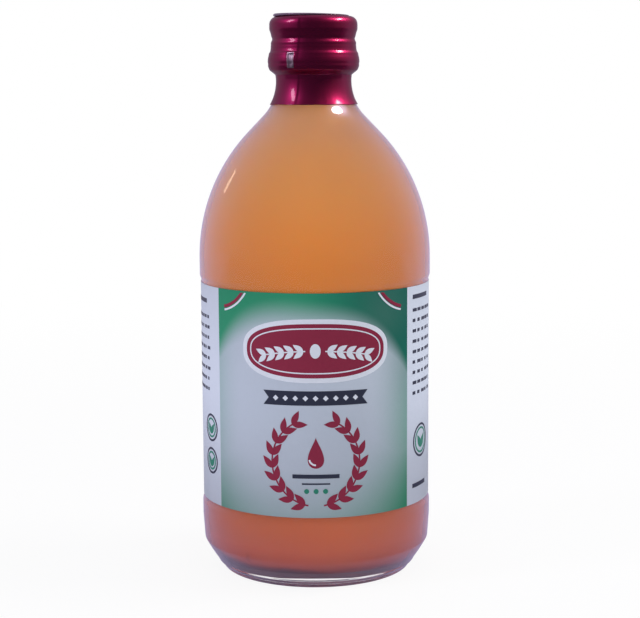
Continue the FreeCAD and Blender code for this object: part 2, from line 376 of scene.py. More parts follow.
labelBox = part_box("label")
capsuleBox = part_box("capsule")
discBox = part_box("capsule_disc")
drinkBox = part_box("vinegar")
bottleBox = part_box("bottle")

vessel = {
    "radius": min(bottleBox[1].x, -bottleBox[0].x) / mm - 0.045,  # wall under the mould seams
    "shoulderFoot": 104.6,  # height where the shoulder starts
    "shoulderRadius": 59.335,
    "slope": math.radians(43.8),
    "coneLength": 7.4,
    "neckFillet": 16.6,
    "neckRadius": 12.1,
    "skirtFoot": 164.2,  # where the neck flares out under the cap's skirt
    "skirtBottom": 165.8,
    "recess": 0.5,
    "wall": 3.05,
    "floorCrown": 7.8,  # inside floor: height in the middle and at its rim, and its arc
    "floorRim": 6.2,
    "floorArc": 230,
    "floorCorner": 8,  # corner up to the wall, and the height where it ends
    "cornerTop": 14.2,
}


def shoulderSteps(inset, stopDrop=0.0):
    # Shoulder arc, cone and neck fillet, moved inward by the inset.
    turn, lift = math.sin(vessel["slope"]), math.cos(vessel["slope"])
    bodyRadius, arc = vessel["radius"], vessel["shoulderRadius"]
    foot = vessel["shoulderFoot"]
    centre = bodyRadius - arc
    arcEnd = (centre + (arc - inset) * lift, foot + (arc - inset) * turn)
    coneEnd = (arcEnd[0] - vessel["coneLength"] * turn, arcEnd[1] + vessel["coneLength"] * lift)
    fillet = vessel["neckFillet"] + inset
    centreX = coneEnd[0] + fillet * lift
    centreZ = coneEnd[1] + fillet * turn
    endX = centreX - math.sqrt(fillet ** 2 - stopDrop ** 2)
    return [(bodyRadius - inset, foot), (*arcEnd, arc - inset, 1), coneEnd,
            (endX, centreZ - stopDrop, fillet, -1)]


def floorSteps(gap):
    # Inside floor, crowned in the middle, and the corner up to the wall.
    wall, corner = vessel["radius"] - vessel["wall"] + gap, vessel["floorCorner"]
    return [(0, vessel["floorCrown"] - gap),
            (wall - corner, vessel["floorRim"] - gap, vessel["floorArc"], -1),
            (wall, vessel["cornerTop"], corner, 1)]


# Glass bottle

bottle = {
    "segments": 144,
    "seamHeight": 0.035,
    "footRadius": 31.6,
    "ringRadius": 28.5,
    "pushUp": 3.0,
    "footCorner": (1.3, 0.75, 1.2),  # width, height and radius of the foot's outer corner
    "heelEdge": 37.72,
    "heelHeight": 10.0,
    "heelRadius": 60.0,
    "wallFoot": 18.3,
    "recessRoom": 0.9,  # flat of the recess beyond the label, and its slope
    "recessSlope": 1.2,
    "finish": (  # outside above the neck: the bead and the sealing rim
        (13.5, 165.8), (13.5, 169.8), (12.65, 169.8), (12.65, 181.6), (11.85, 182.4)),
    "mouthWall": 3.65,
    "lipEase": 0.8,
    "ridges": ((22.0, 0.35), (25.0, -0.35)),  # rings under the base: radius and rise
    "ridgeWidth": 0.55,
    "bead": ((2.6, 0.18), (1.5, -0.18)),  # bead and groove at the heel: height and rise
    "beadWidth": 0.5,
    "sheen": 1.0,  # pale bloom that the glass shows at its edges
    "sheenColour": (0.72, 0.67, 1.0, 1.0),
    "sheenSpread": 0.46,
}


def glassFinish():
    material, desk, place = newMaterial("clearGlass")
    height = grain(desk, place, 16.0, 1.0, (1, 1, 0.45))[1]
    glass = principled(desk, {
        "Base Color": (0.985, 0.985, 0.992, 1), "Roughness": 0.0, "IOR": 1.5,
        "Transmission Weight": 1.0,
        "Sheen Weight": bottle["sheen"], "Sheen Tint": bottle["sheenColour"],
        "Sheen Roughness": bottle["sheenSpread"], "Normal": bump(desk, height, 0.06, 0.002)})
    clear = desk.add("ShaderNodeBsdfTransparent", {"Color": (0.93, 0.93, 0.95, 1)}).outputs[0]
    shadowRay = desk.add("ShaderNodeLightPath").outputs["Is Shadow Ray"]
    return finishMaterial(material, desk, desk.mixShaders(shadowRay, glass, clear))


def baseRelief(point):
    # Rings pressed under the base, and a fine bead round the heel.
    r, z = point
    if z < bottle["pushUp"] + 0.2 and r < bottle["ringRadius"] + 0.5:
        z += sum(rise * hump(r, radius, bottle["ridgeWidth"]) for radius, rise in bottle["ridges"])
    if r > bottle["footRadius"] - 0.6 and z < 6:
        r += sum(rise * hump(z, height, bottle["beadWidth"]) for height, rise in bottle["bead"])
    return r, z


def makeBottle():
    radius, recess, slope = vessel["radius"], vessel["recess"], bottle["recessSlope"]
    low = labelBox[0].z / mm - bottle["recessRoom"]
    high = labelBox[1].z / mm + bottle["recessRoom"]
    foot, ring, push = bottle["footRadius"], bottle["ringRadius"], bottle["pushUp"]
    cornerWidth, cornerHeight, cornerRadius = bottle["footCorner"]
    outer = [(0, push), (ring, 0, arcRadius(2 * ring, push), -1), (foot - cornerWidth, 0),
             (foot, cornerHeight, cornerRadius, 1),
             (bottle["heelEdge"], bottle["heelHeight"], bottle["heelRadius"], 1),
             (radius, bottle["wallFoot"]), (radius, low - slope), (radius - recess, low),
             (radius - recess, high), (radius, high + slope), *shoulderSteps(0),
             (vessel["neckRadius"], vessel["skirtFoot"]), *bottle["finish"]]
    (rim, rimTop), (_, lipTop) = bottle["finish"][-2:]
    mouth = rim - bottle["mouthWall"]
    inner = [*floorSteps(0), *shoulderSteps(vessel["wall"]), (mouth, vessel["skirtFoot"]),
             (mouth, rimTop), (mouth + bottle["lipEase"], lipTop)]
    outside = [baseRelief(point) for point in softenLine(traceLine(outer), 5)]
    outside = thinLine(outside, 1.5, 3.0)
    inside = fineLine(inner, 8, 2.5, 4.0)
    piece = turnProfile("bottleGlass", outside + inside[::-1], glassFinish(), bottle["segments"],
                        len(outside) - 2, bottle["seamHeight"])
    joinFrame(piece, "glass", "bottle")


makeBottle()


# Vinegar

drink = {
    "segments": 96,
    "intoWall": 0.12,  # the liquid reaches this far into the glass, so no air gap shows
    "tones": (  # height in mm and colour there, from the floor up; the two lowest stops, on the liquid's underside, are painted: a lilac-grey that stands in for reflections and shade seen through the base
        (6.4, (130, 96, 104)), (7.2, (144, 90, 92)), (8.3, (186, 97, 84)), (14.0, (183, 98, 76)),
        (20.0, (187, 101, 70)), (45.0, (190, 109, 63)), (75.0, (200, 118, 58)),
        (103.0, (207, 129, 56)), (114.0, (207, 134, 63)), (126.0, (206, 140, 74)),
        (141.0, (205, 144, 84)), (154.0, (202, 145, 93)),
    ),
}


def drinkFinish():
    material, desk, place = newMaterial("cloudyVinegar")
    height = desk.split(place)["Z"]
    swirl = grain(desk, place, 22.0, 0.012, (1, 1, 0.6))[0]
    drift = desk.math("ADD", height, desk.math("SUBTRACT", swirl, 1.0))
    span = 160 * mm
    # Colour by height. Its lowest stops are painted reflection and shade under the liquid, seen
    # through the base.
    ramp = desk.add("ShaderNodeValToRGB", {"Fac": desk.math("DIVIDE", drift, span)})
    stops = ramp.color_ramp.elements
    for index, (z, colour) in enumerate(drink["tones"]):
        stop = stops[index] if index < 2 else stops.new(1.0)
        stop.position = z * mm / span
        stop.color = tone(*colour)
    shade = grain(desk, place, 35.0, 0.10, (1, 1, 0.5))[0]
    cloudy = shaded(desk, ramp.outputs[0], shade)
    settled = desk.slope(height, 16 * mm, 7 * mm)
    fleck = desk.slope(grain(desk, place, 260.0, 1.0, (1, 1, 0.3))[1], 0.60, 0.72)
    colour = desk.blend(desk.times(settled, fleck, 0.35), cloudy, tone(96, 44, 48))
    return finishMaterial(material, desk, principled(desk, {
        "Base Color": colour, "Roughness": 0.5, "IOR": 1.34, "Specular IOR Level": 0.1,
        "Subsurface Weight": 0.35, "Subsurface Radius": (1.0, 0.5, 0.25), "Subsurface Scale": 0.006}))


def makeDrink():
    reach = drink["intoWall"]
    drop = shoulderSteps(0)[-1][1] - drinkBox[1].z / mm
    steps = [*floorSteps(reach), *shoulderSteps(vessel["wall"] - reach, drop),
             (0, drinkBox[1].z / mm)]
    line = fineLine(steps, 4, 2.5, 4.0)
    piece = turnProfile("vinegarFill", line, drinkFinish(), drink["segments"])
    joinFrame(piece, "vinegar", "vinegar")


makeDrink()


# Shrink capsule over the closure

capsule = {
    "segments": 300,
    "film": 0.25,
    "skinGap": 0.05,
    "skirt": 8.0,  # height of the film's flared lower part on the neck
    "foldRadius": 8.85,
    "seamLow": -26.0,  # angle of the overlap at the lower edge, degrees from the front
    "seamHigh": -19.0,
    "seamRise": 0.11,
    "seamTail": 24.0,  # degrees over which the overlap dies away, behind it and before it
    "seamLip": 2.5,
    "wrinkle": 0.05,
    "gather": (164.6, 1.6),  # height and half height of the wrinkles under the cap
    "edgeHalf": 2.5,  # half height of those at the lower edge
    "edgeWave": 0.3,
    "colour": (0.26, 0.011, 0.072, 1.0),
    "tint": (0.34, 0.20, 0.34, 1.0),
    "roughness": 0.42,
    "coat": 0.5,
    "rings": (  # rings of the cap that print through: height, rise and width in mm
        (175.9, -0.22, 0.55), (174.6, 0.18, 0.55), (172.9, -0.10, 0.5), (171.3, 0.14, 0.5),
        (167.9, -0.08, 0.35), (167.0, 0.06, 0.35), (163.8, 0.10, 0.5),
    ),
    "tuck": (-30.0, 168.9),  # folded-in patch, with a painted silver glint inside it: angle and height
    "tuckHalf": (1.0, 2.3),
    "tuckRadius": 14.2,
    # painted glint: a silver-grey that stands in for light caught in the folded-in patch
    "paintedGlint": (0.36, 0.31, 0.36, 1.0),
}
closure = {  # screw cap under the film, heights in mm above its skirt
    "side": 14.15,
    "ring": 13.85,
    "bandTop": 6.1,
    "bandSwell": 0.75,
    "waistFoot": 7.3,
    "waistTop": 13.1,
    "waistHeight": 5.8,
    "waistDip": 0.55,
    "sideTop": 14.8,
    "corner": 2.3,
}


def paintedGlintMask(desk, place):
    # White inside the folded-in patch, where the silver glint is painted.
    angle, height = capsule["tuck"]
    wide, tall = capsule["tuckHalf"]
    turn, radius = math.radians(angle), capsule["tuckRadius"] * mm
    middle = (radius * math.sin(turn), -radius * math.cos(turn), height * mm)
    spot = desk.split(desk.vector("SUBTRACT", place, middle)[0])
    along = desk.math("ADD", desk.times(spot["X"], math.cos(turn)),
                      desk.times(spot["Y"], math.sin(turn)))
    inX = desk.slope(desk.math("ABSOLUTE", along), (wide + 0.35) * mm, (wide + 0.1) * mm)
    inZ = desk.slope(desk.math("ABSOLUTE", spot["Z"]), (tall + 0.35) * mm, (tall + 0.1) * mm)
    return desk.times(inX, inZ, desk.math("LESS_THAN", spot["Y"], 5 * mm))


def filmFinish(name, colour, roughness, metal):
    material, desk, place = newMaterial(name)
    shade = grain(desk, place, 60.0, 0.35, (1, 1, 0.4))[0]
    # Paints a silver glint into the folded-in patch.
    colour = desk.blend(desk.times(paintedGlintMask(desk, place), 0.8), colour, capsule["paintedGlint"])
    streak, height = grain(desk, place, 420.0, 0.10, (1, 1, 0.12))
    return finishMaterial(material, desk, principled(desk, {
        "Base Color": shaded(desk, colour, shade, streak), "Metallic": metal,
        "Roughness": desk.times(shade, roughness), "Specular Tint": capsule["tint"],
        "Coat Weight": capsule["coat"], "Coat Roughness": 0.10,
        "Normal": bump(desk, height, 0.12, 0.0002)}))


def closureSteps(outset):
    # Side of the closure from its skirt up to its flat top, moved outward.
    foot = vessel["skirtBottom"]
    side, ring, corner = (closure[key] + outset for key in ("side", "ring", "corner"))
    bandArc = arcRadius(closure["bandTop"], closure["bandSwell"])
    waistArc = arcRadius(closure["waistHeight"], closure["waistDip"])
    sideTop = foot + closure["sideTop"]
    return [(side, foot), (ring, foot + closure["bandTop"], bandArc, 1),
            (ring, foot + closure["waistFoot"]), (side, foot + closure["waistTop"], waistArc, -1),
            (side, sideTop), (side - corner, sideTop + corner, corner, 1)]


def sleeveSteps(outset):
    neck = vessel["neckRadius"] + outset
    fillet = vessel["neckFillet"] - outset
    drop = capsule["skirt"]
    top = capsuleBox[0].z / mm + drop
    start = neck + fillet - math.sqrt(fillet ** 2 - drop ** 2)
    fold = capsuleBox[1].z / mm - capsule["film"] - capsule["skinGap"] + outset
    return [(start, top - drop), (neck, top, fillet, -1), (neck, vessel["skirtFoot"]),
            *closureSteps(outset), (capsule["foldRadius"], fold)]


def filmOffset(angle, z):
    # How far the film stands off its smooth shape in mm, at an angle in degrees and a height in mm.
    foot, head = capsuleBox[0].z / mm, capsuleBox[1].z / mm
    share = (z - foot) / (head - foot)
    seam = capsule["seamLow"] + (capsule["seamHigh"] - capsule["seamLow"]) * share
    behind, tail, lip = seam - angle, capsule["seamTail"], capsule["seamLip"]
    offset = 0.0
    if 0 <= behind < tail:
        offset += capsule["seamRise"] * (1 - behind / tail) ** 1.5
    elif -lip < behind < 0:
        offset += capsule["seamRise"] * (1 + behind / lip)
    turn = math.radians(angle)
    spot = Vector((math.sin(turn) * 3.2, -math.cos(turn) * 3.2, z * 0.05))
    gather, edge = hump(z, *capsule["gather"]), hump(z, foot, capsule["edgeHalf"])
    offset += capsule["wrinkle"] * noise.noise(spot * 0.55) * 1.4
    offset += capsule["wrinkle"] * (1.3 * gather + 0.9 * edge) * noise.noise(spot * 2.2)
    offset += sum(rise * hump(z, height, width) for height, rise, width in capsule["rings"])

    # The folded-in patch: a raised line round it, and sunk within
    across = math.radians(angle - capsule["tuck"][0]) * capsule["tuckRadius"]
    up = z - capsule["tuck"][1]
    wide, tall = capsule["tuckHalf"]
    out = max(abs(across) - wide - 0.12 * up, abs(up) - tall)
    if out < 1.5:
        offset += 0.20 * hump(out, 0.0, 0.26)
        offset -= 0.10 + 0.08 * across if out < 0 else 0
    return offset


def makeCapsule():
    gap, film = capsule["skinGap"], capsule["film"]
    outside = fineLine(sleeveSteps(gap + film), 5, 3.0, 0.28, 0.15)
    inside = fineLine(sleeveSteps(gap), 5, 3.0, 0.9, 0.15)
    line = outside + inside[::-1] + [outside[0]]
    finish = filmFinish("maroonFoil", capsule["colour"], capsule["roughness"], 0.95)
    piece = turnProfile("capsuleFilm", line, finish, capsule["segments"])
    low, high = capsuleBox[0].z / mm, capsuleBox[1].z / mm
    normals = [vertex.normal.copy() for vertex in piece.data.vertices]
    for vertex, normal in zip(piece.data.vertices, normals):
        x, y, z = vertex.co / mm
        radius = math.hypot(x, y)
        angle = math.degrees(math.atan2(x, -y))
        flat = min(1.0, max(0.0, (radius - 9.5) / 2.5))  # the fold on the top stays flat
        offset = filmOffset(angle, z) * flat
        if normal.x * x + normal.y * y < 0:
            offset = max(offset, -0.03)  # the inner wall stays clear of the cap
        grown = (radius + offset) / radius
        wave = noise.noise(Vector((x * 0.16, y * 0.16, 3.0))) + 0.5
        lift = max(0, capsule["edgeWave"] * hump(z, low, 1.6) * wave)
        vertex.co = Vector((x * grown, y * grown, min(z + lift, high))) * mm
    piece.data.update()
    joinFrame(piece, "capsule_film", "capsule")


makeCapsule()


# Top disc of the capsule

disc = {
    "segments": 144,
    "radius": 12.4,
    "shift": -0.75,  # sits a little to one side
    "lean": 0.55,  # how much lower the rim is on the other side, in mm
    "dent": 0.05,
    "colour": (0.150, 0.105, 0.160, 1.0),
    "roughness": 0.40,
    "metal": 0.25,
}


def makeDisc():
    low, high = discBox[0].z / mm, discBox[1].z / mm - 0.01
    radius = disc["radius"]
    steps = [(0, low), (radius - 0.25, low), (radius, low + 0.25), (radius, high - 0.3),
             (radius - 0.3, high), (radius - 0.6, high), (radius - 0.9, high - 0.35),
             (radius - 1.2, low + 0.35), (0, low + 0.3)]
    line = fineLine(steps, 5, 4.0, 1.2, 0.08)
    finish = filmFinish("slateFoil", disc["colour"], disc["roughness"], disc["metal"])
    piece = turnProfile("capsuleTop", line, finish, disc["segments"])
    for vertex in piece.data.vertices:
        x, y, z = vertex.co / mm
        share = (z - low) / (high - low)
        fall = disc["lean"] * (x / radius + 1) / 2 * share
        dent = 0
        if math.hypot(x, y) < radius - 1:
            dent = min(0, disc["dent"] * noise.noise(Vector((x * 0.25, y * 0.25, 1.0))))
        vertex.co = Vector((x + disc["shift"], y, z - fall + dent * share)) * mm
    piece.data.update()
    joinFrame(piece, "capsule_film", "capsule_disc")


makeDisc()


# Screw cap under the film

def finishCap():
    material, desk, place = newMaterial("spunAluminium")
    streak, height = grain(desk, place, 500.0, 0.25, (1, 1, 12))
    metal = principled(desk, {
        "Base Color": shaded(desk, tone(206, 204, 200), streak), "Metallic": 1.0,
        "Roughness": desk.times(streak, 0.32), "Normal": bump(desk, height, 0.2, 0.0001)})
    finishMaterial(material, desk, metal)
    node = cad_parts["cap"]
    node.data.materials.clear()
    node.data.materials.append(material)


finishCap()
print("glass, drink and closure made")


# Paper label

label = {
    "lap": 8.0,
    "lapRamp": 0.05,  # angle over which the end climbs onto the start, in radians
    "facets": 264,
    "paper": 0.15,
    "panelLeft": -54.5,  # edges of the coloured front panel, in degrees from the front
    "panelRight": 51.0,
    "topFade": (0.81, 0.98),  # where green fades to pale, as shares of the panel
    "lowFade": (0.75, 1.5),
    "sideFade": (0.58, 1.20, 0.0, 0.62),
    "deepAcross": (-0.3, 0.7),
    "deepUp": (0.30, 0.80),
    "white": (204, 213, 227),
    "pale": (180, 191, 204),
    "green": (48, 144, 108),
    "deepGreen": (0, 94, 80),
    "step": 1.5,  # how finely print is bent round the bottle, in mm
    "inkSink": 0.02,  # how deep the print reaches into the paper
}
labelLow, labelHigh = labelBox[0].z / mm, labelBox[1].z / mm
labelRadius = vessel["radius"] - vessel["recess"] + 0.05


def paperFinish():
    material, desk, place = newMaterial("labelPaper")
    spot = desk.split(place)
    angle = desk.math("DEGREES", desk.math("ARCTAN2", spot["X"], desk.times(spot["Y"], -1)))
    middle = (label["panelLeft"] + label["panelRight"]) / 2
    half = (label["panelRight"] - label["panelLeft"]) / 2
    across = desk.math("DIVIDE", desk.math("SUBTRACT", angle, middle), half)  # -1 to 1 on the panel
    out = desk.math("ABSOLUTE", across)
    up = desk.math("DIVIDE", desk.math("SUBTRACT", spot["Z"], labelLow * mm),
                   (labelHigh - labelLow) * mm)

    def reach(power, weight, start, slant):
        # A fade's edge, bowed towards the panel's sides and slanting across it.
        bowed = desk.math("MULTIPLY_ADD", desk.math("POWER", out, power), weight, start)
        return desk.math("MULTIPLY_ADD", across, slant, bowed)

    top = desk.slope(reach(3.0, 0.25, up, 0.05), *label["topFade"])
    low = desk.slope(reach(2.0, 0.35, desk.math("SUBTRACT", 1.0, up), 0.10), *label["lowFade"])
    side = desk.slope(desk.math("MULTIPLY_ADD", across, 0.12, out), *label["sideFade"])
    green = desk.math("MAXIMUM", top, desk.math("MAXIMUM", low, side))
    deep = desk.times(desk.slope(across, *label["deepAcross"]), desk.slope(up, *label["deepUp"]))
    ink = desk.blend(deep, tone(*label["green"]), tone(*label["deepGreen"]))
    panel = desk.blend(green, tone(*label["pale"]), ink)
    printed = desk.blend(desk.math("LESS_THAN", out, 1.0), tone(*label["white"]), panel)
    shade, height = grain(desk, place, 900.0, 0.05)
    broad = grain(desk, place, 30.0, 0.05)[0]
    return finishMaterial(material, desk, principled(desk, {
        "Base Color": shaded(desk, printed, shade, broad), "Roughness": 0.48, "IOR": 1.45,
        "Specular IOR Level": 0.14, "Normal": bump(desk, height, 0.15, 0.00006)}))


def inkFinish(name, colour):
    material, desk, place = newMaterial(name)
    shade, height = grain(desk, place, 1100.0, 0.10)
    broad = grain(desk, place, 45.0, 0.12)[0]
    return finishMaterial(material, desk, principled(desk, {
        "Base Color": shaded(desk, tone(*colour), shade, broad),
        "Roughness": 0.42, "Normal": bump(desk, height, 0.12, 0.00005)}))


def makeLabel():
    # A strip of paper wound once round, its end lapped over its start at the back.
    lap, ramp, count = label["lap"] / 2 / labelRadius, label["lapRamp"], label["facets"]
    first, last = -math.pi - lap, math.pi + lap
    mesh = bmesh.new()
    columns = []
    for k in range(count + 1):
        angle = first + (last - first) * k / count
        lift = label["paper"] * min(1, max(0, (angle - (math.pi - lap - ramp)) / ramp))
        column = []
        for radius, z in ((0, labelLow), (0, labelHigh), (1, labelHigh), (1, labelLow)):
            r = (labelRadius + lift + radius * (label["paper"] - 0.003)) * mm
            column.append(mesh.verts.new((r * math.sin(angle), -r * math.cos(angle), z * mm)))
        columns.append(column)
    for here, after in zip(columns, columns[1:]):
        for k in range(4):
            mesh.faces.new((here[k], here[(k + 1) % 4], after[(k + 1) % 4], after[k]))
    mesh.faces.new(columns[0])
    mesh.faces.new(columns[-1][::-1])
    bmesh.ops.recalc_face_normals(mesh, faces=mesh.faces)
    data = bpy.data.meshes.new("labelSheet")
    mesh.to_mesh(data)
    mesh.free()
    data.materials.append(paperFinish())
    piece = newObject("labelSheet", data)
    for polygon in data.polygons:
        polygon.use_smooth = abs(polygon.normal.z) < 0.5
    joinFrame(piece, "label_paper", "label")


makeLabel()


# Print on the label. Flat shapes in mm: x along the wrap from the front, y up from the foot.

def flatSlab(loops, high):
    low = -label["inkSink"]
    curve = bpy.data.curves.new("flat", "CURVE")
    curve.dimensions = "2D"
    curve.fill_mode = "BOTH"
    curve.extrude = (high - low) / 2
    for loop in loops:
        addSpline(curve, [(x, y, 0) for x, y in loop]).use_cyclic_u = True
    item = newObject("flat", curve)
    mesh = evaluatedMesh(item)
    mesh.transform(Matrix.Translation((0, 0, (low + high) / 2)))
    bpy.data.objects.remove(item)
    bpy.data.curves.remove(curve)
    return mesh


def roundShape(x, y, halfWidth, halfHeight, power=2.0, count=96):
    loop = []
    for k in range(count):
        angle = 2 * math.pi * k / count
        c, s = math.cos(angle), math.sin(angle)
        loop.append((x + halfWidth * math.copysign(abs(c) ** (2 / power), c),
                     y + halfHeight * math.copysign(abs(s) ** (2 / power), s)))
    return loop


def boxShape(x, y, width, height):
    return [(x - width / 2, y - height / 2), (x + width / 2, y - height / 2),
            (x + width / 2, y + height / 2), (x - width / 2, y + height / 2)]


def leafShape(length, width, count=10):
    # A pointed leaf lying along +x from its stalk.
    upper = [(length * k / count, width / 2 * math.sin(math.pi * (k / count) ** 0.8))
             for k in range(count + 1)]
    lower = [(x, -y) for x, y in upper[1:-1]]
    return upper[::-1] + lower


def dropShape(x, y, width, height, count=40):
    loop = []
    for k in range(count):
        angle = 2 * math.pi * k / count
        swell = math.sin(angle / 2) ** 1.6
        loop.append((x + width / 2 * math.sin(angle) * swell, y + height / 2 * math.cos(angle)))
    return loop


def bandShape(x, y, radius, width, start, sweep, count=60):
    edges = []
    for r in (radius + width / 2, radius - width / 2):
        turns = [math.radians(start + sweep * k / count) for k in range(count + 1)]
        edges.append([(x + r * math.cos(turn), y + r * math.sin(turn)) for turn in turns])
    return edges[0] + edges[1][::-1]


def scatterTree(desk, given, part, count, spot, **pose):
    # Sets one copy of the part at each spot, and ends the tree.
    shape = desk.add("GeometryNodeObjectInfo", {"Object": given[part]}).outputs["Geometry"]
    points = desk.add("GeometryNodePoints", {"Count": count, "Position": spot})
    copies = desk.add("GeometryNodeInstanceOnPoints", {
        "Points": points.outputs[0], "Instance": shape, **pose})
    finishTree(desk, copies.outputs[0], given["Finish"])


def buildBranchTree():
    # Sets leaves along an arc, each leaning from its direction.
    tree, desk, given = newGeometryTree("leafBranch", {
        "Leaf": "Object", "Leaves": "Int", "Radius": "Float", "Start": "Float", "Sweep": "Float",
        "Lean": "Float"})
    index = desk.add("GeometryNodeInputIndex").outputs[0]
    share = desk.math("DIVIDE", index, desk.math("SUBTRACT", given["Leaves"], 1))
    angle = desk.math("MULTIPLY_ADD", share, given["Sweep"], given["Start"])
    spot = desk.join(X=desk.times(desk.math("COSINE", angle), given["Radius"]),
                     Y=desk.times(desk.math("SINE", angle), given["Radius"]))
    turn = desk.join(Z=desk.math("ADD", angle, given["Lean"]))
    scatterTree(desk, given, "Leaf", given["Leaves"], spot, Rotation=turn)
    return tree


def buildRowsTree():
    # Lines of small print shown as plain dashes of uneven width.
    tree, desk, given = newGeometryTree("dashRows", {
        "Dash": "Object", "Rows": "Int", "Columns": "Int", "Row Pitch": "Float",
        "Column Pitch": "Float", "Seed": "Int"})
    index = desk.add("GeometryNodeInputIndex").outputs[0]
    row = desk.math("FLOOR", desk.math("DIVIDE", index, given["Columns"]))
    column = desk.math("MODULO", index, given["Columns"])
    spot = desk.join(X=desk.times(column, given["Column Pitch"]),
                     Y=desk.times(row, given["Row Pitch"], -1))
    width = desk.add("FunctionNodeRandomValue", {
        2: desk.times(given["Column Pitch"], 0.45), 3: desk.times(given["Column Pitch"], 0.88),
        "ID": index, "Seed": given["Seed"]}, data_type="FLOAT")
    scatterTree(desk, given, "Dash", desk.times(given["Rows"], given["Columns"]), spot,
                Scale=desk.join(X=width.outputs[1], Y=1.0, Z=1.0))
    return tree


branchTree = buildBranchTree()
rowsTree = buildRowsTree()


class InkLayer:
    # Collects the shapes of one ink and wraps them on the label as one piece.
    def __init__(self, name, finish, height):
        self.name, self.finish, self.height = name, finish, height
        self.flat = bmesh.new()

    def take(self, mesh, place=None):
        if place:
            mesh.transform(place)
        self.flat.from_mesh(mesh)
        bpy.data.meshes.remove(mesh)

    def shape(self, *loops, place=None):
        self.take(flatSlab(loops, self.height), place)

    def stamp(self, tree, partName, loop, values, place):
        part = newObject("stamp", flatSlab([loop], self.height))
        done = runTree("stampRun", tree, {partName: part, "Finish": self.finish, **values})
        self.take(done.data.copy(), place)
        bpy.data.objects.remove(part)
        bpy.data.objects.remove(done)

    def wrap(self):
        flat = self.flat
        bmesh.ops.remove_doubles(flat, verts=flat.verts, dist=1e-4)
        low = min(vertex.co.x for vertex in flat.verts)
        high = max(vertex.co.x for vertex in flat.verts)
        cut = math.ceil(low / label["step"]) * label["step"]
        while cut < high:
            near = [face for face in flat.faces
                    if min(v.co.x for v in face.verts) < cut - 1e-6 < max(v.co.x for v in face.verts)]
            if near:
                edges = {edge for face in near for edge in face.edges}
                verts = {vertex for face in near for vertex in face.verts}
                bmesh.ops.bisect_plane(flat, geom=[*verts, *edges, *near],
                                       plane_co=(cut, 0, 0), plane_no=(1, 0, 0))
            cut += label["step"]
        bmesh.ops.recalc_face_normals(flat, faces=flat.faces)
        outside = labelRadius + label["paper"]
        for vertex in flat.verts:
            x, y, depth = vertex.co
            angle, r = x / outside, (outside + depth) * mm
            vertex.co = (r * math.sin(angle), -r * math.cos(angle), y * mm)
        mesh = bpy.data.meshes.new(self.name)
        flat.to_mesh(mesh)
        flat.free()
        mesh.materials.clear()
        mesh.materials.append(self.finish)
        for polygon in mesh.polygons:
            polygon.material_index = 0
        joinFrame(newObject(self.name, mesh), "label_paper", "label")
        print(self.name, len(mesh.polygons), "faces")


artwork = {
    "badgeHeight": 78.5,
    "badgeHalf": (23.0, 8.6),
    "badgePower": 2.5,  # 2 is a true oval, more is squarer
    "sprigRadius": 90.0,
    "ribbonDrop": 15.0,
    "ribbonHalf": (17.0, 2.3),
    "ribbonNotch": 15.2,
    "wreathHeight": 43.0,
    "wreathRadius": 14.2,
    "wreathLeaves": 9,
    "stripe": (34.0, -1.2, 104.0, 96.2),  # corner stripes: place across, shift, height, cut
    "crimson": (140, 24, 60),
    "slate": (44, 51, 72),
    "cream": (214, 222, 232),
    "leaf": (30, 128, 104),
}


def branchPair(layer, leafSize, leaves, radius, y, stem, spread, lean, base):
    # Two mirrored branches: a stem along an arc and two rows of leaves leaning from it.
    start, sweep = map(math.radians, spread)
    for side in (-1, 1):
        place = Matrix.Translation((0, y, 0)) @ Matrix.Scale(side, 4, (1, 0, 0))
        layer.shape([(side * px, py + y) for px, py in bandShape(0, 0, radius, *stem)])
        for tilt in (lean, -lean):
            layer.stamp(branchTree, "Leaf", leafShape(*leafSize), {
                "Leaves": leaves, "Radius": radius, "Start": start, "Sweep": sweep,
                "Lean": tilt + base}, place)


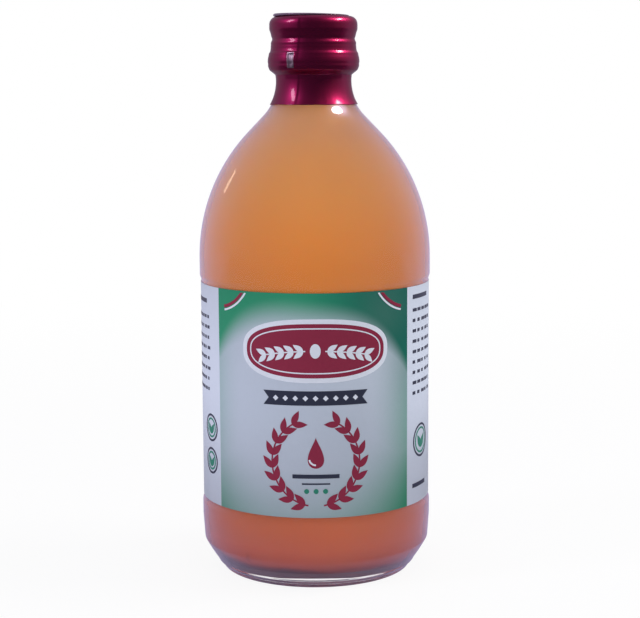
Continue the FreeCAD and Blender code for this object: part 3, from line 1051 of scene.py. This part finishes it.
def makePrint():
    rim, crimson, slate, leaf, cream = layers = [
        InkLayer("print" + name, inkFinish("ink" + ink, artwork[colour]), height)
        for name, ink, colour, height in (
            ("Rim", "CreamRim", "cream", 0.03), ("Crimson", "Crimson", "crimson", 0.045),
            ("Slate", "Slate", "slate", 0.04), ("Leaf", "Leaf", "leaf", 0.05),
            ("Cream", "Cream", "cream", 0.06))]
    up = math.pi / 2

    # Badge: an oval with a pale rim, an inner line and a sprig
    high, arc = artwork["badgeHeight"], artwork["sprigRadius"]
    wide, tall = artwork["badgeHalf"]
    ovals = [roundShape(0, high, wide + grow, tall + grow, artwork["badgePower"])
             for grow in (1.5, 0, -1.3, -1.7)]
    rim.shape(ovals[0])
    crimson.shape(ovals[1])
    cream.shape(*ovals[2:])
    branchPair(cream, (3.9, 1.7), 5, arc, high - arc, (0.4, 88.0, -8.6, 20), (87.6, -7.8), 0.6, -up)
    cream.shape(roundShape(0, high, 1.7, 2.3, 2.0, 32))

    # Ribbon under the badge with a row of small diamonds
    level, notch = high - artwork["ribbonDrop"], artwork["ribbonNotch"]
    end, half = artwork["ribbonHalf"]
    slate.shape([(-end, level - half), (end, level - half), (notch, level),
                 (end, level + half), (-end, level + half), (-notch, level)])
    for k in range(-4, 5):
        cream.shape(roundShape(k * 3.2, level, 0.9, 0.9, 1.0, 8))

    # Wreath of two branches round a drop
    centre, radius = artwork["wreathHeight"], artwork["wreathRadius"]
    branchPair(crimson, (5.0, 2.1), artwork["wreathLeaves"], radius, centre, (0.5, -80, 140),
               (-76, 134), 0.55, up)
    crimson.shape(dropShape(0, centre + 3.0, 7.5, 10.0))
    cream.shape(bandShape(0, centre + 1.2, 2.1, 0.55, 190, 80, 20))
    slate.shape(boxShape(0, centre - 4.6, 15.0, 1.3))
    slate.shape(boxShape(0, centre - 7.0, 9.0, 0.5))
    for k in (-1, 0, 1):
        leaf.shape(roundShape(k * 3.0, centre - 9.4, 0.8, 0.8, 2.0, 20))

    # Corner stripes
    across, shift, rise, cut = artwork["stripe"]
    for side, start in ((-1, 280), (1, 190)):
        for layer, bend, width in ((crimson, 13.0, 1.0), (cream, 14.1, 0.6)):
            curve = bandShape(side * across + shift, rise, bend, width, start, 70)
            layer.shape([(x, y) for x, y in curve if y < cut])

    # Small print as dashes: place, rows, columns, column pitch and seed
    for x, y, rows, columns, pitch, seed in (
            (37.0, 89.0, 9, 5, 3.2, 3), (60.0, 89.0, 12, 6, 2.9, 8), (60.0, 44.0, 4, 6, 2.9, 55),
            (86.0, 64.0, 6, 7, 2.8, 21), (-63.0, 86.5, 8, 8, 2.6, 5), (-92.0, 87.0, 6, 6, 2.9, 13),
            (-92.0, 56.0, 7, 6, 2.9, 34)):
        slate.stamp(rowsTree, "Dash", boxShape(0.5, 0, 1.0, 1.05), {
            "Rows": rows, "Columns": columns, "Row Pitch": 3.4, "Column Pitch": pitch,
            "Seed": seed}, Matrix.Translation((x, y, 0)))
    for x, y, width in ((43.0, 93.3, 12.0), (68.0, 93.3, 15.0), (-54.0, 91.6, 18.0),
                        (-84.0, 91.6, 14.0), (42.0, 31.0, 10.0)):
        slate.shape(boxShape(x, y, width, 1.4))

    # Seals as rings round a pair of leaves
    for x, y, size in ((43.0, 45.5, 5.6), (-42.5, 50.0, 4.6), (-42.5, 39.0, 4.4), (96.0, 38.0, 6.0)):
        rings = [roundShape(x, y, size - inset, size - inset) for inset in (0, 0.7, 1.3, 1.9)]
        slate.shape(*rings[:2])
        leaf.shape(*rings[2:])
        for turn in (60, 120):
            leaf.shape(leafShape(size * 0.9, size * 0.42),
                       place=Matrix.Translation((x, y - size * 0.45, 0))
                       @ Matrix.Rotation(math.radians(turn), 4, "Z"))
    for layer in layers:
        layer.wrap()


makePrint()
print("label printed")


# Floor, lamps, surroundings and camera

studio = {
    "ambient": (0.64, 0.985 * 0.64, 1.03 * 0.64, 1),
    "frontMirror": (0.064, 0.050, 0.078, 1),  # what shiny surfaces see on the front side
    "backMirror": (0.50, 0.46, 0.60, 1),  # and behind
    "floorHalf": 3.0,
    "floorFade": (0.12, 0.7, 0.90, 1.0),  # the floor's light by distance, to the eye
    "floorThrough": (0.030, 0.055, 0.0, 0.75),  # and through the glass
    "key": 3.3,
    "fill": 3.0,
    "reflector": 10.0,
    "underGlow": 0.010,
    "foilKey": 7.2,
    "foilGlow": 0.3,
    "foilFill": 3.4,
    "neckGlint": 0.0010,
    "windowGlint": 0.14,
}


def makeFloor():
    mesh = bpy.data.meshes.new("floor")
    half, level = studio["floorHalf"], -0.0001
    corners = [(-half, -half, level), (half, -half, level), (half, half, level), (-half, half, level)]
    mesh.from_pydata(corners, [], [(0, 1, 2, 3)])
    floor = newObject("floor", mesh)
    material, desk, place = newMaterial("paleFloor")
    reach = desk.vector("LENGTH", place)["Value"]
    path = desk.add("ShaderNodeLightPath").outputs
    camera = desk.times(path["Is Camera Ray"], desk.slope(reach, *studio["floorFade"]))
    passing = desk.times(path["Is Transmission Ray"], desk.slope(reach, *studio["floorThrough"]))
    seen = desk.math("MAXIMUM", camera, desk.math("MAXIMUM", path["Is Glossy Ray"], passing))
    behind = desk.slope(desk.split(place)["Y"], -0.05, 0.25)
    mirror = desk.blend(behind, studio["frontMirror"], studio["backMirror"])
    colour = desk.blend(path["Is Glossy Ray"], (1, 1, 1, 1), mirror)
    plain = principled(desk, {"Base Color": tone(244, 244, 246), "Roughness": 0.8})
    glow = desk.add("ShaderNodeEmission", {"Color": colour, "Strength": 1.0}).outputs[0]
    mesh.materials.append(finishMaterial(material, desk, desk.mixShaders(seen, plain, glow)))
    floor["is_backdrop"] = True


def makeSurroundings():
    world = bpy.data.worlds.new("studio")
    scene.world = world
    world.use_nodes = True
    world.node_tree.nodes.clear()
    desk = NodeDesk(world.node_tree)
    path = desk.add("ShaderNodeLightPath").outputs
    direction = desk.add("ShaderNodeTexCoord").outputs["Generated"]
    behind = desk.slope(desk.split(direction)["Y"], -0.55, 0.65)
    mirror = desk.blend(behind, studio["frontMirror"], studio["backMirror"])
    light = desk.blend(path["Is Glossy Ray"], studio["ambient"], mirror)
    shown = desk.math("MAXIMUM", path["Is Camera Ray"], path["Is Transmission Ray"])
    colour = desk.blend(shown, light, (1, 1, 1, 1))
    background = desk.add("ShaderNodeBackground", {"Color": colour, "Strength": 1.0})
    desk.add("ShaderNodeOutputWorld", {"Surface": background.outputs[0]})


def makeLamp(name, power, azimuth, elevation, distance, size, colour, lit, target=(0, 0, 0.12)):
    # Azimuth turns from the camera's side towards +X. Each lamp lights only the named pieces,
    # because broad studio lamps would leave patches on the glass.
    data = bpy.data.lights.new(name, "AREA")
    data.shape = "RECTANGLE" if size[0] > 0.01 else "ELLIPSE"
    data.size, data.size_y = size
    data.energy = power
    data.color = colour
    lamp = newObject(name, data)
    a, e = math.radians(azimuth), math.radians(elevation)
    away = Vector((math.sin(a) * math.cos(e), -math.cos(a) * math.cos(e), math.sin(e)))
    lamp.location = Vector(target) + away * distance
    lamp.rotation_euler = (-away).to_track_quat("-Z", "Y").to_euler()
    lamp.visible_camera = False
    lamp.visible_transmission = False
    group = bpy.data.collections.new(name + "Receivers")
    for piece in lit:
        group.objects.link(bpy.data.objects[piece])
    lamp.light_linking.receiver_collection = group


def makeCamera():
    data = bpy.data.cameras.new("camera")
    data.sensor_width = 36.0
    data.lens = 91.575
    data.shift_x = 0.0078
    data.clip_start, data.clip_end = 0.02, 20
    camera = newObject("camera", data)
    camera.location = (0, -0.540, 0.16045)
    pitch = Matrix.Rotation(math.radians(82.22), 4, "X")
    camera.rotation_euler = (pitch @ Matrix.Rotation(math.radians(-0.345), 4, "Z")).to_euler()
    scene.camera = camera


makeFloor()
makeSurroundings()
foil, glass, wet = ["capsuleFilm", "capsuleTop"], ["bottleGlass"], ["vinegarFill"]
dry = ["floor", *(piece.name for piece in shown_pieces() if piece.name not in (*foil, *glass, *wet))]
for name, *aim in (
        ("key", 90, 46, 0.9, (0.40, 0.24), (1.0, 0.98, 0.98), dry),
        ("fill", -66, 22, 1.0, (0.24, 0.50), (0.86, 0.82, 1.0), dry),
        ("foilKey", 90, 46, 0.9, (0.32, 0.16), (1.0, 0.86, 0.70), foil),
        ("foilGlow", 84, 24, 0.8, (0.90, 0.90), (1.0, 0.55, 0.50), foil),
        ("foilFill", -69, 31, 1.0, (0.18, 0.46), (0.92, 0.80, 0.96), foil)):
    makeLamp(name, studio[name], *aim)
for side, azimuth in (("Left", -50), ("Right", 50), ("Back", 180)):
    makeLamp("reflector" + side, studio["reflector"], azimuth, -3, 1.0, (0.60, 0.40), (1, 1, 1),
             wet, (0, 0, 0.07))
for name, *aim in (
        ("underGlow", 0, -90, 0.0065, (0.036, 0.036), (0.95, 0.90, 1.0), wet, (0, 0, 0.007)),
        ("neckGlint", 30.2, 34.9, 0.0006, (0.0044, 0.0025), (1, 1, 1), glass,
         (0.00785, -0.01263, 0.15334)),
        ("windowGlint", -125, 21, 1.0, (0.07, 0.16), (1.0, 0.82, 0.55), glass,
         (-0.0268, -0.0188, 0.127))):
    makeLamp(name, studio[name], *aim)
makeCamera()
scene.view_settings.view_transform = "Standard"
print("studio set")
